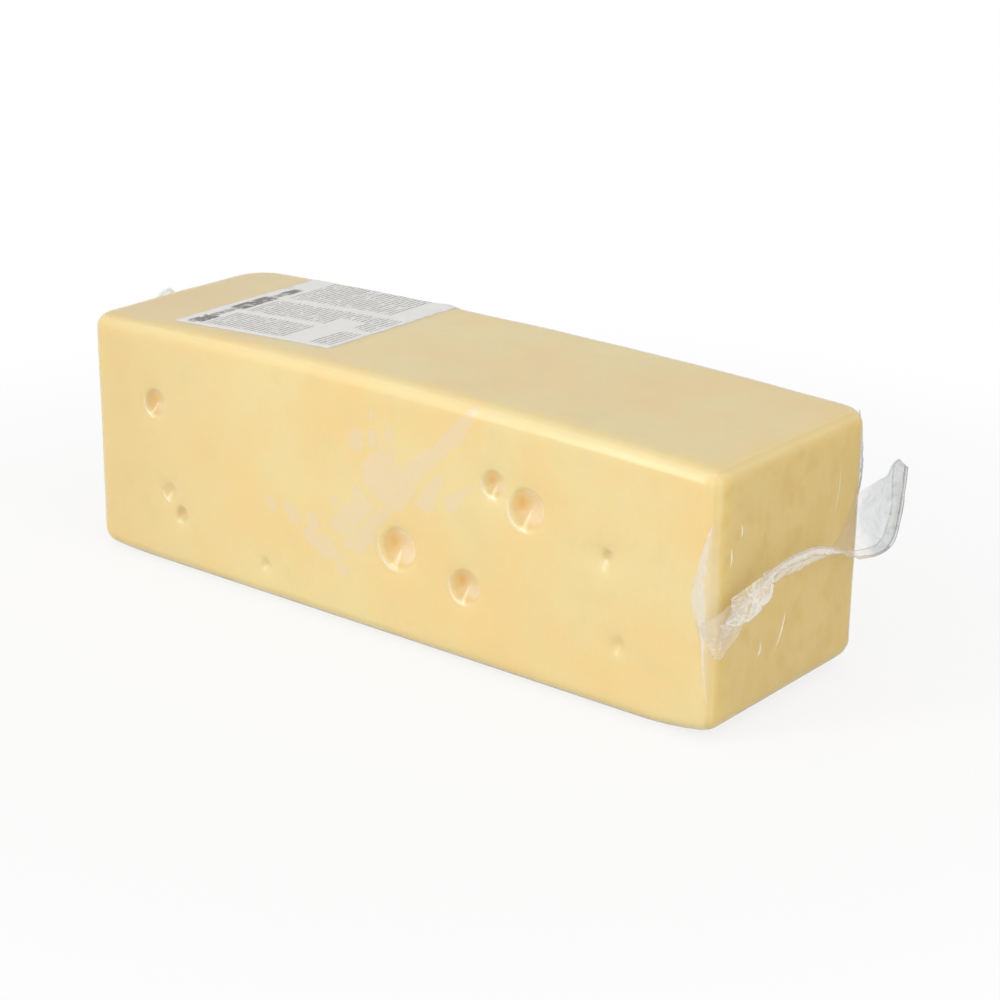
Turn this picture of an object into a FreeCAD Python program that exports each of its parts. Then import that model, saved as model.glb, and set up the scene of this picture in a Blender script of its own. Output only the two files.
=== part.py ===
import FreeCAD, Part
import Sketcher
import os

# Emmental in a vacuum-shrunk clear bag: a loaf-shaped block of cheese that lies on its long flat base.
# +X runs along the block, +Y to its back, +Z up; the origin is the middle of the base.
# Lengths are in millimetres.
# The bag lies so tight on the cheese that block and film are one solid out to the film.
# The flat seals that close the bag stand off both ends, and a paper label lies on top.

doc = FreeCAD.newDocument("EmmentalBlock")
sheet = doc.addObject("Spreadsheet::Sheet", "Sizes")
usedRows = 0


def setSize(alias, value, note=""):
    """Write one named size on the next row of the sheet."""
    global usedRows
    usedRows += 1
    sheet.set("A%d" % usedRows, alias)
    sheet.set("B%d" % usedRows, str(value))
    sheet.setAlias("B%d" % usedRows, alias)
    sheet.set("C%d" % usedRows, note)


# ---------------------------------------------------------------- sizes
setSize("block_length", 300, "end to end")
setSize("block_depth", 95, "front face to back face")
setSize("block_height", 100.5, "base to the crown of the top")
setSize("top_drop", 3.5, "how far the arched top falls to each end")
setSize("base_lift_left", 1.5, "how far the base curls up at the left end")
setSize("base_lift_right", 4, "and at the right end")
setSize("base_curl", 32, "length of that curl")
setSize("front_left_round", 8, "the four upright edges")
setSize("front_right_round", 7)
setSize("back_right_round", 10)
setSize("back_left_round", 17)
setSize("top_round", 6, "edge round the top")
setSize("base_round", 6.5, "edge round the base")
setSize("rim_round", 0.9, "softened rim of an eye")

setSize("film_thickness", 0.5, "two films welded face to face, in a seal")
setSize("bead_radius", 0.9, "rolled outer edge of a seal")
setSize("seal_height", 49, "right seal above the base")
setSize("fold_height", 40, "root of the left seal below the top")

setSize("label_thickness", 0.3)
setSize("label_length", 75, "along the block")
setSize("label_inset", 37.5, "left end of the block to the label")
setSize("label_front", 10, "front face to the label")
setSize("label_skew", 6, "how far its front edge runs back over its length")
setSize("label_wrap", 17, "how far it hangs down over the back edge")

# Eyes: the round holes that the film is drawn into. Each is measured from the nearer end, and from
# the base or down from the top: (face, end, along, edge, up, mouth radius, depth).
eyes = [
    ("front", "left", 35, "top", 33.5, 6, 6.5),
    ("front", "left", 42, "base", 32, 4.4, 1.6),
    ("front", "left", 48, "base", 23.5, 3.6, 4),
    ("front", "left", 93, "base", 14, 2.6, 1.8),
    ("front", "right", 140, "base", 37, 9.1, 11),
    ("front", "right", 96, "top", 28.5, 5.2, 7),
    ("front", "right", 81, "top", 34.5, 8.1, 10.5),
    ("front", "right", 108.5, "base", 30, 7.2, 7.5),
    ("front", "right", 46.5, "top", 43, 3.2, 3.4),
    ("front", "right", 40.5, "base", 26, 4.6, 1.6),
    ("back", "right", 38, "base", 33, 7.2, 7),
    ("back", "right", 92, "top", 38, 5.2, 5.5),
    ("back", "right", 118, "base", 28, 9.2, 10.5),
    ("back", "left", 122, "top", 41, 6.8, 7),
    ("back", "left", 84, "base", 38, 4.4, 4),
    ("back", "left", 46, "base", 24, 8, 8.5),
]
for number, (face, end, along, edge, up, mouth, depth) in enumerate(eyes, 1):
    setSize("eye_%d_along" % number, along, "%s face, from the %s end" % (face, end))
    setSize("eye_%d_up" % number, up, "from the %s" % edge)
    setSize("eye_%d_mouth" % number, mouth, "radius at the face")
    setSize("eye_%d_depth" % number, depth)

# Stations across the end of the block, from front to back, through which each seal is lofted:
# (measured from this side, distance in from it, root out of the end face, root height,
#  bead out of the end face, bead height). Heights count from seal_height on the right and from the
# root of the fold, fold_height below the top, on the left.
rightStations = [
    ("front", 1, -9, -11, 1, -14),
    ("front", 5.5, -6, -7, 3.5, 0),
    ("front", 15, -4, -2, 6, 8),
    ("front", 31, -4, 1, 8, 12),
    ("front", 47, -4, 0.5, 8.5, 11),
    ("back", 33.5, -4, 0, 8, 6),
    ("back", 21.5, -4, 2, 8, 0),
    ("back", 12, -4, 11, 8, -3),
    ("back", 5.5, -4, 18.5, 8.5, -3),
    ("back", 0.5, 2.5, 22, 8.5, 1),
    ("back", -4.5, 5.5, 25.5, 8.5, 12),
    ("back", -8.5, 7.5, 27.5, 9, 25.5),
]
leftStations = [
    ("front", 2, -9, 2, -3, 10),
    ("front", 9, -3, 0, 1.6, 22),
    ("front", 21, -2, -1, 3.5, 28),
    ("front", 33, -2, 0, 3, 30),
    ("front", 45, -2, 0, 4.5, 34.5),
    ("back", 39, -2, 0, 6, 28),
    ("back", 27.5, -2, 1, 3.5, 29),
    ("back", 16.5, -2, 0, 4, 31.5),
    ("back", 8.5, -4, 0, 4.5, 24),
    ("back", 3, -12, 1, 0, 12),
]
for side, stations in (("right", rightStations), ("left", leftStations)):
    for number, (start, inset, rootOut, rootUp, beadOut, beadUp) in enumerate(stations, 1):
        name = "%s_%d_" % (side, number)
        setSize(name + "inset", inset, "in from the %s face" % start)
        setSize(name + "root_out", rootOut)
        setSize(name + "root_up", rootUp)
        setSize(name + "bead_out", beadOut)
        setSize(name + "bead_up", beadUp)
doc.recompute()


# ---------------------------------------------------------------- helpers
def originPlane(body, role):
    for feature in body.Origin.OriginFeatures:
        if feature.Role == role:
            return feature


def addSketch(body, name, role, offset=None):
    """A sketch on one of the body's origin planes, moved along the plane's normal by an expression."""
    sketch = body.newObject("Sketcher::SketchObject", name)
    sketch.AttachmentSupport = [(originPlane(body, role), "")]
    sketch.MapMode = "FlatFace"
    if offset:
        sketch.setExpression("AttachmentOffset.Base.z", offset)
    return sketch


def setDistance(sketch, kind, geometry, vertex, value, expression):
    """Tie a point's distance from the sketch's origin to an expression."""
    index = sketch.addConstraint(Sketcher.Constraint(kind, -1, 1, geometry, vertex, value))
    sketch.setExpression("Constraints[%d]" % index, expression)


def placePoint(sketch, geometry, vertex, across, up):
    point = sketch.getPoint(geometry, vertex)
    setDistance(sketch, "DistanceX", geometry, vertex, point.x, across)
    setDistance(sketch, "DistanceY", geometry, vertex, point.y, up)


def joinEnds(sketch, first, second, kind="Coincident"):
    """Make two neighbours meet, or meet smoothly, in their end points that lie nearest each other."""
    pairs = []
    for a in (1, 2):
        for b in (1, 2):
            gap = (sketch.getPoint(first, a) - sketch.getPoint(second, b)).Length
            pairs.append((gap, a, b))
    gap, a, b = min(pairs)
    sketch.addConstraint(Sketcher.Constraint(kind, first, a, second, b))


def edgesWhere(shape, wanted):
    return ["Edge%d" % number for number, edge in enumerate(shape.Edges, 1) if wanted(edge)]


def roundEdges(body, name, wanted, size):
    """Fillet those edges of the body's tip that the test picks out."""
    tip = body.Tip
    fillet = body.newObject("PartDesign::Fillet", name)
    fillet.Base = (tip, edgesWhere(tip.Shape, wanted))
    fillet.setExpression("Radius", size)
    doc.recompute()


# ---------------------------------------------------------------- block
def addLoaf(name, grown):
    """The block without its eyes, grown all round by an expression."""
    body = doc.addObject("PartDesign::Body", name)

    # side profile: flat base with curled-up ends, upright ends and an arched top
    halfLong = sheet.block_length / 2
    flat = halfLong - sheet.base_curl
    lifts = {"left": sheet.base_lift_left, "right": sheet.base_lift_right}
    crown = sheet.block_height
    shoulder = crown - sheet.top_drop
    corner = {}
    for side, x in (("left", -halfLong), ("right", halfLong)):
        corner[side + "Foot"] = FreeCAD.Vector(x, lifts[side], 0)
        corner[side + "Shoulder"] = FreeCAD.Vector(x, shoulder, 0)
    leftFlat = FreeCAD.Vector(-flat, 0, 0)
    rightFlat = FreeCAD.Vector(flat, 0, 0)
    midCurl = (flat + halfLong) / 2
    profile = addSketch(body, name + "Profile", "XZ_Plane")
    base = profile.addGeometry(Part.LineSegment(leftFlat, rightFlat))
    outline = [base]
    for side, start, x in (("right", rightFlat, midCurl), ("left", leftFlat, -midCurl)):
        curl = Part.Arc(start, FreeCAD.Vector(x, lifts[side] / 4, 0), corner[side + "Foot"])
        end = Part.LineSegment(corner[side + "Foot"], corner[side + "Shoulder"])
        outline.append(profile.addGeometry(curl))
        outline.append(profile.addGeometry(end))
    top = Part.Arc(corner["rightShoulder"], FreeCAD.Vector(0, crown, 0), corner["leftShoulder"])
    outline.append(profile.addGeometry(top))
    base, rightCurl, rightEnd, leftCurl, leftEnd, top = outline
    for curl, end in ((rightCurl, rightEnd), (leftCurl, leftEnd)):
        joinEnds(profile, base, curl, "Tangent")
        joinEnds(profile, curl, end)
        joinEnds(profile, end, top)
    flatExpression = "(Sizes.block_length / 2 - Sizes.base_curl)"
    halfExpression = "(Sizes.block_length / 2 + %s)" % grown
    shoulderExpression = "Sizes.block_height - Sizes.top_drop + %s" % grown
    placePoint(profile, base, 1, "-" + flatExpression, "-" + grown)
    placePoint(profile, base, 2, flatExpression, "-" + grown)
    for side, end, sign in (("right", rightEnd, ""), ("left", leftEnd, "-")):
        foot = "Sizes.base_lift_%s - %s" % (side, grown)
        placePoint(profile, end, 1, sign + halfExpression, foot)
        placePoint(profile, end, 2, sign + halfExpression, shoulderExpression)
    index = profile.addConstraint(Sketcher.Constraint("Radius", top, profile.Geometry[top].Radius))
    archRadius = "(%s ^ 2 + Sizes.top_drop ^ 2) / (2 * Sizes.top_drop)" % halfExpression
    profile.setExpression("Constraints[%d]" % index, archRadius)

    pad = body.newObject("PartDesign::Pad", name + "Pad")
    pad.Profile = profile
    pad.SideType = "Symmetric"
    pad.setExpression("Length", "Sizes.block_depth + 2 * %s" % grown)
    doc.recompute()

    def uprightAt(xSign, ySign):
        def test(edge):
            centre = edge.CenterOfMass
            tall = edge.BoundBox.ZLength > shoulder / 2
            return tall and centre.x * xSign > 0 and centre.y * ySign > 0
        return test

    for face, ySign in (("front", -1), ("back", 1)):
        for end, xSign in (("left", -1), ("right", 1)):
            size = "Sizes.%s_%s_round + %s" % (face, end, grown)
            roundEdges(body, name + face.capitalize() + end.capitalize(), uprightAt(xSign, ySign), size)

    def roundTheTop(edge):
        return edge.BoundBox.ZMin > shoulder - 0.01

    def roundTheBase(edge):
        box = edge.BoundBox
        acrossTheBase = box.XLength < 0.01 and abs(edge.CenterOfMass.x) < halfLong - 0.01
        return box.ZMax < max(lifts.values()) + 0.01 and not acrossTheBase

    roundEdges(body, name + "TopRound", roundTheTop, "Sizes.top_round + " + grown)
    # the base's round is no larger than the smallest upright round that it runs into
    ends = ("front_left", "front_right", "back_left", "back_right")
    largest = "; ".join("Sizes.%s_round" % end for end in ends)
    size = "min(Sizes.base_round; %s) + %s" % (largest, grown)
    roundEdges(body, name + "BaseRound", roundTheBase, size)
    return body


block = addLoaf("Block", "0")
block.Label = "cheese_block"


# ---------------------------------------------------------------- eyes
def cutEye(body, number, face, end, edge):
    """A round hole with a softened rim, turned about an axis that stands square to the face.

    Half its section: a ball that has the named mouth and depth, then a small arc that leads
    smoothly from the ball to the face. Overlapping eyes just run into one another."""
    prefix = "eye_%d_" % number
    mouth = getattr(sheet, prefix + "mouth")
    depth = getattr(sheet, prefix + "depth")
    rim = sheet.rim_round
    inward = 1 if face == "front" else -1
    level = -inward * sheet.block_depth / 2
    ball = (mouth ** 2 + depth ** 2) / (2 * depth)
    centre = FreeCAD.Vector(0, level + inward * (depth - ball), 0)
    reach = ((ball + rim) ** 2 - (rim - depth + ball) ** 2) ** 0.5
    rimCentre = FreeCAD.Vector(reach, level + inward * rim, 0)
    bottom = FreeCAD.Vector(0, level + inward * depth, 0)
    lip = FreeCAD.Vector(reach, level, 0)
    outside = FreeCAD.Vector(0, -inward, 0)
    towards = (rimCentre - centre).normalize()
    meeting = centre + towards * ball
    onBall = centre + ((meeting - centre) + (bottom - centre)).normalize() * ball
    onRim = rimCentre + ((meeting - rimCentre) + (lip - rimCentre)).normalize() * rim

    sketch = addSketch(body, "Eye%dHalf" % number, "XY_Plane")
    wall = sketch.addGeometry(Part.Arc(bottom, onBall, meeting))
    edgeArc = sketch.addGeometry(Part.Arc(meeting, onRim, lip))
    out = sketch.addGeometry(Part.LineSegment(lip, lip + outside))
    over = sketch.addGeometry(Part.LineSegment(lip + outside, FreeCAD.Vector(0, level, 0) + outside))
    axis = sketch.addGeometry(Part.LineSegment(FreeCAD.Vector(0, level, 0) + outside, bottom))
    joinEnds(sketch, wall, edgeArc, "Tangent")
    for first, second in ((edgeArc, out), (out, over), (over, axis), (axis, wall)):
        joinEnds(sketch, first, second)
    sketch.addConstraint(Sketcher.Constraint("Vertical", axis))
    sketch.addConstraint(Sketcher.Constraint("Horizontal", over))
    sketch.addConstraint(Sketcher.Constraint("Vertical", out))
    sketch.addConstraint(Sketcher.Constraint("PointOnObject", wall, 3, -2))
    sketch.addConstraint(Sketcher.Constraint("Vertical", edgeArc, 3, out, 1))
    name = "Sizes." + prefix
    sign = "-" if face == "front" else ""
    radius = "(%smouth ^ 2 + %sdepth ^ 2) / (2 * %sdepth)" % (name, name, name)
    placePoint(sketch, axis, 2, "0", "%s(Sizes.block_depth / 2 - %sdepth)" % (sign, name))
    setDistance(sketch, "DistanceY", out, 1, level, sign + "Sizes.block_depth / 2")
    setDistance(sketch, "DistanceY", out, 2, level - inward, "%s(Sizes.block_depth / 2 + 1)" % sign)
    for arc, size, value in ((wall, ball, radius), (edgeArc, rim, "Sizes.rim_round")):
        index = sketch.addConstraint(Sketcher.Constraint("Radius", arc, size))
        sketch.setExpression("Constraints[%d]" % index, value)
    ends = {"left": "-Sizes.block_length / 2 + ", "right": "Sizes.block_length / 2 - "}
    edges = {"base": "", "top": "Sizes.block_height - "}
    sketch.setExpression("AttachmentOffset.Base.x", ends[end] + name + "along")
    sketch.setExpression("AttachmentOffset.Base.z", edges[edge] + name + "up")

    volume = body.Tip.Shape.Volume
    groove = body.newObject("PartDesign::Groove", "Eye%d" % number)
    groove.Profile = sketch
    groove.ReferenceAxis = (sketch, ["V_Axis"])
    groove.Angle = 360
    doc.recompute()
    if volume - groove.Shape.Volume <= 0:
        raise RuntimeError("eye %d cuts nothing" % number)


solidVolume = block.Shape.Volume
for number, (face, end, along, edge, up, mouth, depth) in enumerate(eyes, 1):
    cutEye(block, number, face, end, edge)
eyeVolume = solidVolume - block.Shape.Volume
print("block %.0f ml, of which the eyes take %.1f ml" % (solidVolume / 1000, eyeVolume / 1000))


# ---------------------------------------------------------------- end seals
def addStation(body, side, number, start):
    """One section of a seal: a strip from its root to its bead, as thick as the two welded films."""
    name = "Sizes.%s_%d_" % (side, number)
    value = {}
    for key in ("inset", "root_out", "root_up", "bead_out", "bead_up"):
        value[key] = getattr(sheet, "%s_%d_%s" % (side, number, key))
    sign = 1 if side == "right" else -1
    level = sheet.seal_height if side == "right" else sheet.block_height - sheet.fold_height
    levelName = "Sizes.seal_height" if side == "right" else "(Sizes.block_height - Sizes.fold_height)"
    halfLong = sheet.block_length / 2
    root = FreeCAD.Vector(sign * (halfLong + value["root_out"]), level + value["root_up"], 0)
    bead = FreeCAD.Vector(sign * (halfLong + value["bead_out"]), level + value["bead_up"], 0)
    radius = sheet.bead_radius
    along = (bead - root).normalize()
    half = FreeCAD.Vector(-along.y, along.x, 0) * (sheet.film_thickness / 2)
    neck = bead - along * (radius ** 2 - half.Length ** 2) ** 0.5
    inward = "(Sizes.block_depth / 2 - %sinset)" % name
    offset = inward if start == "front" else "-" + inward
    sketch = addSketch(body, "%sStation%d" % (side.capitalize(), number), "XZ_Plane", offset)
    spine = sketch.addGeometry(Part.LineSegment(root, bead), True)
    upper = sketch.addGeometry(Part.LineSegment(root + half, neck + half))
    curl = sketch.addGeometry(Part.Arc(neck + half, bead + along * radius, neck - half))
    lower = sketch.addGeometry(Part.LineSegment(neck - half, root - half))
    end = sketch.addGeometry(Part.LineSegment(root - half, root + half))
    for first, second in ((upper, curl), (curl, lower), (lower, end), (end, upper)):
        joinEnds(sketch, first, second)
    sketch.addConstraint(Sketcher.Constraint("Parallel", spine, upper))
    sketch.addConstraint(Sketcher.Constraint("Parallel", spine, lower))
    sketch.addConstraint(Sketcher.Constraint("Coincident", curl, 3, spine, 2))
    sketch.addConstraint(Sketcher.Constraint("Symmetric", end, 1, end, 2, spine, 1))
    outward = "(Sizes.block_length / 2 + %s)" if side == "right" else "-(Sizes.block_length / 2 + %s)"
    placePoint(sketch, spine, 1, outward % (name + "root_out"), levelName + " + " + name + "root_up")
    placePoint(sketch, spine, 2, outward % (name + "bead_out"), levelName + " + " + name + "bead_up")
    index = sketch.addConstraint(Sketcher.Constraint("Distance", end, sheet.film_thickness))
    sketch.setExpression("Constraints[%d]" % index, "Sizes.film_thickness")
    sketch.addConstraint(Sketcher.Constraint("Perpendicular", end, spine))
    index = sketch.addConstraint(Sketcher.Constraint("Radius", curl, radius))
    sketch.setExpression("Constraints[%d]" % index, "Sizes.bead_radius")
    return sketch


def addSeal(side, stations):
    """A wavy, twisting flat seal, lofted through its stations and cut off against the block."""
    body = doc.addObject("PartDesign::Body", side.capitalize() + "Strip")
    sections = []
    for number, (start, *rest) in enumerate(stations, 1):
        sections.append(addStation(body, side, number, start))
    doc.recompute()
    loft = body.newObject("PartDesign::AdditiveLoft", side.capitalize() + "Loft")
    loft.Profile = sections[0]
    loft.Sections = sections[1:]
    doc.recompute()
    seal = doc.addObject("Part::Cut", side.capitalize() + "Seal")
    seal.Base = body
    seal.Tool = block
    seal.Label = "end_seal_" + side
    return seal


rightSeal = addSeal("right", rightStations)
leftSeal = addSeal("left", leftStations)


# ---------------------------------------------------------------- label
def addLabel():
    """A paper label that follows the top and hangs over the back edge: a skin of the block."""
    skin = addLoaf("LabelSkin", "Sizes.label_thickness")
    outline = doc.addObject("PartDesign::Body", "LabelOutline")
    sketch = addSketch(outline, "LabelPlan", "XY_Plane", "Sizes.block_height - Sizes.label_wrap")
    left = sheet.label_inset - sheet.block_length / 2
    right = left + sheet.label_length
    front = sheet.label_front - sheet.block_depth / 2
    back = sheet.block_depth / 2 + 2 * sheet.label_thickness
    leftName = "Sizes.label_inset - Sizes.block_length / 2"
    rightName = leftName + " + Sizes.label_length"
    frontName = "Sizes.label_front - Sizes.block_depth / 2"
    backName = "Sizes.block_depth / 2 + 2 * Sizes.label_thickness"
    corners = [
        (FreeCAD.Vector(left, front, 0), leftName, frontName),
        (FreeCAD.Vector(right, front + sheet.label_skew, 0), rightName, frontName + " + Sizes.label_skew"),
        (FreeCAD.Vector(right, back, 0), rightName, backName),
        (FreeCAD.Vector(left, back, 0), leftName, backName),
    ]
    sides = []
    for here, there in zip(corners, corners[1:] + corners[:1]):
        sides.append(sketch.addGeometry(Part.LineSegment(here[0], there[0])))
    for first, second in zip(sides, sides[1:] + sides[:1]):
        sketch.addConstraint(Sketcher.Constraint("Coincident", first, 2, second, 1))
    for line, (point, across, up) in zip(sides, corners):
        placePoint(sketch, line, 1, across, up)
    prism = outline.newObject("PartDesign::Pad", "LabelPrism")
    prism.Profile = sketch
    prism.setExpression("Length", "Sizes.label_wrap + 2 * Sizes.label_thickness")
    doc.recompute()
    patch = doc.addObject("Part::Common", "LabelPatch")
    patch.Base = skin
    patch.Tool = outline
    label = doc.addObject("Part::Cut", "Label")
    label.Base = patch
    label.Tool = block
    label.Label = "label"
    return label


label = addLabel()
doc.recompute()


# ---------------------------------------------------------------- check and write
for item in doc.Objects:
    if "Invalid" in item.State or "Error" in item.State:
        raise RuntimeError("%s failed: %s" % (item.Name, item.State))

parts = [block, rightSeal, leftSeal, label]
for part in parts:
    if part.Shape.isNull() or not part.Shape.isValid():
        raise RuntimeError("%s has no valid shape" % part.Label)

os.makedirs("parts", exist_ok=True)
for part in parts:
    part.Shape.exportStep("parts/%s.step" % part.Label)
    box = part.Shape.BoundBox
    print("%-16s %d solid, %9.1f mm3, %d faces, %s" % (
        part.Label, len(part.Shape.Solids), part.Shape.Volume, len(part.Shape.Faces), box))
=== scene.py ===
import math

import bmesh
import bpy
import numpy as np
from mathutils import Matrix, Vector, noise


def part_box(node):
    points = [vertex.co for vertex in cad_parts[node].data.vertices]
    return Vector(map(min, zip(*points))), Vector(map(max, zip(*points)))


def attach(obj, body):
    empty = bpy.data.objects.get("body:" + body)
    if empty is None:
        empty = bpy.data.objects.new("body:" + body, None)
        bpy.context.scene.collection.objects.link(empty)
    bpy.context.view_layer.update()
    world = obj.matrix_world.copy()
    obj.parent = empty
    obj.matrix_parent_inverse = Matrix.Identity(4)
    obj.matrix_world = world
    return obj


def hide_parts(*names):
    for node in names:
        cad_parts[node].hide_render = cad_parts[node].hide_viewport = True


# Emmental in a vacuum-shrunk clear bag. Shapes are worked out in millimetres, +X along the block,
# +Y to its back, +Z up, and turned into metres when a mesh is made.
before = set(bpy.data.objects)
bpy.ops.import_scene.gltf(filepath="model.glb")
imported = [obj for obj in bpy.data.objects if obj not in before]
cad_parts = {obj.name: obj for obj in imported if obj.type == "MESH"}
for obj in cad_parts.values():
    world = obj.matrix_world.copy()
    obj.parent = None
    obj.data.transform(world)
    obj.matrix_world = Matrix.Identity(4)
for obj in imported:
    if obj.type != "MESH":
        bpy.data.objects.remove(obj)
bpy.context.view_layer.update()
halfLong, halfDeep, tall = np.array(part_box("cheese_block")[1]) * 1000
print("frame loaded, half length %.1f, half depth %.1f, height %.1f" % (halfLong, halfDeep, tall))


# shader helpers
def linear(red, green, blue):
    # screen colour, 0 to 255, to the linear colour that sockets want
    out = []
    for part in (red, green, blue):
        part /= 255
        out.append(part / 12.92 if part < 0.04045 else ((part + 0.055) / 1.055) ** 2.4)
    return (*out, 1.0)


class Wire:
    # wraps a value socket, so that sums on it add Math nodes
    def __init__(self, look, socket):
        self.look = look
        self.socket = socket

    def math(self, operation, first, second=0.0):
        made = self.look.node("ShaderNodeMath", {"operation": operation}, {0: first, 1: second})
        return Wire(self.look, made.outputs[0])

    def __add__(self, other):
        return self.math("ADD", self, other)

    def __sub__(self, other):
        return self.math("SUBTRACT", self, other)

    def __rsub__(self, other):
        return self.math("SUBTRACT", other, self)

    def __mul__(self, other):
        return self.math("MULTIPLY", self, other)

    def __truediv__(self, other):
        return self.math("DIVIDE", self, other)

    __radd__ = __add__
    __rmul__ = __mul__

    def floor(self):
        return self.math("FLOOR", self)

    def fraction(self):
        return self.math("FRACT", self)

    def most(self, other):
        return self.math("MAXIMUM", self, other)

    def least(self, other):
        return self.math("MINIMUM", self, other)

    def ramp(self, low, high):
        # 0 below low, 1 above high, smooth between
        made = self.look.node("ShaderNodeMapRange", {"interpolation_type": "SMOOTHSTEP"},
                              {"Value": self, "From Min": low, "From Max": high})
        return Wire(self.look, made.outputs[0])

    def between(self, low, high, soft):
        return self.ramp(low - soft, low + soft) * (1 - self.ramp(high - soft, high + soft))


class Look:
    # the nodes of one material, or of the world
    def __init__(self, name, holder=None):
        self.holder = holder or bpy.data.materials.new(name)
        self.holder.use_nodes = True
        self.tree = self.holder.node_tree
        self.tree.nodes.clear()
        self.coords = None

    def node(self, kind, settings=None, inputs=None):
        made = self.tree.nodes.new(kind)
        for key, value in (settings or {}).items():
            setattr(made, key, value)
        for key, value in (inputs or {}).items():
            if isinstance(value, Wire):
                value = value.socket
            if isinstance(value, bpy.types.NodeSocket):
                self.tree.links.new(value, made.inputs[key])
            else:
                made.inputs[key].default_value = value
        return made

    def place(self):
        # where a point is, in millimetres
        if self.coords is None:
            coords = self.node("ShaderNodeTexCoord")
            scaled = self.node("ShaderNodeVectorMath", {"operation": "SCALE"},
                               {0: coords.outputs["Object"], "Scale": 1000.0})
            self.coords = scaled.outputs[0]
        return self.coords

    def axis(self, name):
        # one part of that place
        split = self.node("ShaderNodeSeparateXYZ", None, {0: self.place()})
        return Wire(self, split.outputs[name])

    def stretch(self, across, deep, up):
        made = self.node("ShaderNodeVectorMath", {"operation": "MULTIPLY"},
                         {0: self.place(), 1: (across, deep, up)})
        return made.outputs[0]

    def grain(self, millimetres, detail=2.0, rough=0.5, where=None):
        inputs = {"Vector": where or self.place(), "Scale": 1.0 / millimetres, "Detail": detail,
                  "Roughness": rough}
        return Wire(self, self.node("ShaderNodeTexNoise", None, inputs).outputs["Fac"])

    def value(self, name):
        made = self.node("ShaderNodeAttribute", {"attribute_name": name})
        return Wire(self, made.outputs["Fac"])

    def blend(self, amount, first, second, kind="MIX"):
        made = self.node("ShaderNodeMix", {"data_type": "RGBA", "blend_type": kind},
                         {0: amount, 6: first, 7: second})
        return made.outputs[2]

    def bump(self, height, strength, distance):
        made = self.node("ShaderNodeBump", None,
                         {"Height": height, "Strength": strength, "Distance": distance})
        return made.outputs["Normal"]

    def ray(self, *kinds):
        # 1 for rays of these kinds
        made = self.node("ShaderNodeLightPath")
        wires = [Wire(self, made.outputs["Is %s Ray" % kind]) for kind in kinds]
        for wire in wires[1:]:
            wires[0] = wires[0].most(wire)
        return wires[0]

    def mix(self, amount, first, second):
        return self.node("ShaderNodeMixShader", None, {0: amount, 1: first, 2: second}).outputs[0]

    def output(self, shader, kind="ShaderNodeOutputMaterial"):
        self.node(kind, None, {"Surface": shader})
        return self.holder


# mesh helpers
def makePiece(name, points, faces, material, values=None):
    mesh = bpy.data.meshes.new(name)
    mesh.from_pydata((np.asarray(points) / 1000).tolist(), [], faces)
    mesh.polygons.foreach_set("use_smooth", [True] * len(mesh.polygons))
    for key, numbers in (values or {}).items():
        attribute = mesh.attributes.new(key, "FLOAT", "POINT")
        attribute.data.foreach_set("value", np.asarray(numbers, np.float32))
    mesh.materials.append(material)
    mesh.update()
    piece = bpy.data.objects.new(name, mesh)
    bpy.context.scene.collection.objects.link(piece)
    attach(piece, "root")
    print("made", name, len(points), "points")
    return piece


def curveThrough(points, count):
    # smooth line through rows of numbers, one row for each point
    points = np.asarray(points, float)
    padded = np.concatenate([[2 * points[0] - points[1]], points, [2 * points[-1] - points[-2]]])
    place = np.linspace(0, len(points) - 1, count)
    start = np.minimum(place.astype(int), len(points) - 2)
    t = (place - start).reshape((-1,) + (1,) * (points.ndim - 1))
    a, b, c, d = (padded[start + step] for step in range(4))
    return 0.5 * (2 * b + (c - a) * t + (2 * a - 5 * b + 4 * c - d) * t ** 2
                  + (3 * b - a - 3 * c + d) * t ** 3)


def sheetGrid(rows, along, across):
    # a smooth sheet through stations; every station is the same number of points
    rows = np.asarray([curveThrough(row, across) for row in rows])
    return curveThrough(rows, along)


def gridFaces(along, across, first=0):
    faces = []
    for i in range(along - 1):
        for j in range(across - 1):
            corner = first + i * across + j
            faces.append((corner, corner + 1, corner + across + 1, corner + across))
    return faces


def gridNormals(grid):
    normals = np.cross(np.gradient(grid, axis=0), np.gradient(grid, axis=1))
    return normals / np.maximum(np.linalg.norm(normals, axis=2, keepdims=True), 1e-9)


def crumpled(points, size, seed, octaves=3):
    # crumple pattern at every point, with sharp ridges, about -1 to 1
    flat = points.reshape(-1, 3) / size + seed * 17.3
    out = np.zeros(len(flat))
    for number, point in enumerate(flat):
        strength = 1.0
        for octave in range(octaves):
            out[number] += strength * (1 - 2.4 * abs(noise.noise(Vector(point) * 2 ** octave)))
            strength *= 0.5
    return out.reshape(points.shape[:-1])


# the block's form: a plain box of points, rounded, arched and curled
blockForm = {
    # radius of each upright edge, by its side in x and y
    "corners": {(-1, -1): 8, (1, -1): 7, (1, 1): 10, (-1, 1): 17},
    "topRound": 6,
    "baseRound": 6.5,
    "topDrop": 3.5,  # fall of the top from its middle to its ends
    "baseLift": {-1: 1.5, 1: 4},  # rise of the base at each end
    "baseCurl": 32,  # length over which it rises
    "uneven": 0.0035,  # slow waves in the faces, as a share of the block
    "unevenSize": 34,
    "evenBase": 12,  # height over which the waves fade to the flat base
}


def squareToRound(a, b):
    # distances past the start of a rounding, along its two sides, moved onto circles
    both = (a > 0) & (b > 0)
    length = np.where(both, np.hypot(a, b), 1)
    factor = np.where(both, np.maximum(a, b) / length, 1)
    return a * factor, b * factor


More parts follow.
